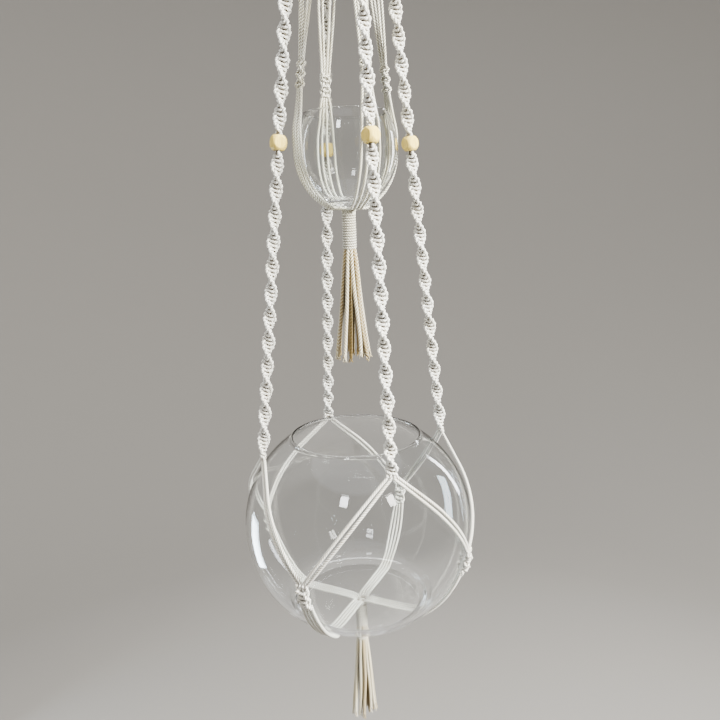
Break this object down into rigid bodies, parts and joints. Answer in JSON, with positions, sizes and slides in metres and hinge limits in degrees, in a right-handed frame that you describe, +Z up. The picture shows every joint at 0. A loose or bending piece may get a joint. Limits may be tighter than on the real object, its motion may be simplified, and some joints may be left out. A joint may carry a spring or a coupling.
{
  "type": "hanging macrame planter",
  "caption": "Knotted cord hanger that carries a round glass bowl, with a smaller cord hanger and small glass bowl inside its arms; hangs from a wooden ring.",
  "frame": {"origin": "the point inside the hanging ring that bears on a hook", "axes": "+Z up, along the hanger; the ring stands in the XZ plane; the outer arms lie towards +X, +Y, -X and -Y"},
  "size_m": [0.25, 0.25, 1.3197],
  "materials": {
    "outer_cord": "matt braided cotton cord, natural off-white",
    "inner_cord": "matt twisted cotton cord, natural off-white to beige",
    "bead_wood": "plain smooth pale wood",
    "ring_wood": "plain smooth pale wood",
    "large_glass": "clear blown glass",
    "small_glass": "clear blown glass"
  },
  "bodies": {
    "ring": {"top_ring": "ring_wood"},
    "outer_hanger": {"top_loops": "outer_cord", "top_wrap": "outer_cord", "lead_right": "outer_cord", "lead_back": "outer_cord", "lead_left": "outer_cord", "lead_front": "outer_cord", "upper_spiral_right": "outer_cord", "upper_spiral_back": "outer_cord", "upper_spiral_left": "outer_cord", "upper_spiral_front": "outer_cord", "lower_spiral_right": "outer_cord", "lower_spiral_back": "outer_cord", "lower_spiral_left": "outer_cord", "lower_spiral_front": "outer_cord", "net_cords_1": "outer_cord", "net_cords_2": "outer_cord", "net_cords_3": "outer_cord", "net_cords_4": "outer_cord", "net_cords_5": "outer_cord", "net_cords_6": "outer_cord", "net_cords_7": "outer_cord", "net_cords_8": "outer_cord", "net_knot_1": "outer_cord", "net_knot_2": "outer_cord", "net_knot_3": "outer_cord", "net_knot_4": "outer_cord", "base_strands_1": "outer_cord", "base_strands_2": "outer_cord", "base_strands_3": "outer_cord", "base_strands_4": "outer_cord", "lower_wrap": "outer_cord"},
    "inner_hanger": {"inner_bundle": "inner_cord", "inner_top_wrap": "inner_cord", "inner_arm_1": "inner_cord", "inner_arm_2": "inner_cord", "inner_arm_3": "inner_cord", "inner_arm_4": "inner_cord", "inner_knot_1": "inner_cord", "inner_knot_2": "inner_cord", "inner_knot_3": "inner_cord", "inner_knot_4": "inner_cord", "basket_strands_1": "inner_cord", "basket_strands_2": "inner_cord", "basket_strands_3": "inner_cord", "basket_strands_4": "inner_cord", "inner_wrap": "inner_cord"},
    "small_bowl": {"small_bowl": "small_glass"},
    "large_bowl": {"large_bowl": "large_glass"},
    "inner_tassel": {"inner_tassel": "inner_cord"},
    "lower_tassel": {"lower_tassel": "outer_cord"},
    "bead_right": {"bead_right": "bead_wood"},
    "bead_back": {"bead_back": "bead_wood"},
    "bead_left": {"bead_left": "bead_wood"},
    "bead_front": {"bead_front": "bead_wood"}
  },
  "joints": [
    {"name": "hanger_swing", "type": "hinge", "parent": "ring", "child": "outer_hanger", "pos_m": [0, 0, -0.055], "axis": [1, 0, 0], "range_deg": [-15, 15]},
    {"name": "inner_hanger_twist", "type": "hinge", "parent": "outer_hanger", "child": "inner_hanger", "pos_m": [0, 0, -0.1084], "axis": [0, 0, 1], "range_deg": [-60, 60]},
    {"name": "small_bowl_turn", "type": "hinge", "parent": "inner_hanger", "child": "small_bowl", "pos_m": [0, 0, -0.655], "axis": [0, 0, 1], "continuous": true},
    {"name": "large_bowl_turn", "type": "hinge", "parent": "outer_hanger", "child": "large_bowl", "pos_m": [0, 0, -1.0484], "axis": [0, 0, 1], "continuous": true},
    {"name": "bead_right_turn", "type": "hinge", "parent": "outer_hanger", "child": "bead_right", "pos_m": [0.06881, 0, -0.648], "axis": [-0.1089, 0, 0.994], "range_deg": [-90, 90]},
    {"name": "bead_back_turn", "type": "hinge", "parent": "outer_hanger", "child": "bead_back", "pos_m": [0, 0.06881, -0.648], "axis": [0, -0.1089, 0.994], "range_deg": [-90, 90]},
    {"name": "bead_left_turn", "type": "hinge", "parent": "outer_hanger", "child": "bead_left", "pos_m": [-0.06881, 0, -0.648], "axis": [0.1089, 0, 0.994], "range_deg": [-90, 90]},
    {"name": "bead_front_turn", "type": "hinge", "parent": "outer_hanger", "child": "bead_front", "pos_m": [0, -0.06881, -0.648], "axis": [0, 0.1089, 0.994], "range_deg": [-90, 90]},
    {"name": "inner_tassel_swing", "type": "hinge", "parent": "inner_hanger", "child": "inner_tassel", "pos_m": [0, 0, -0.75845], "axis": [1, 0, 0], "range_deg": [-20, 20]},
    {"name": "lower_tassel_swing", "type": "hinge", "parent": "outer_hanger", "child": "lower_tassel", "pos_m": [0, 0, -1.20805], "axis": [1, 0, 0], "range_deg": [-20, 20]}
  ]
}
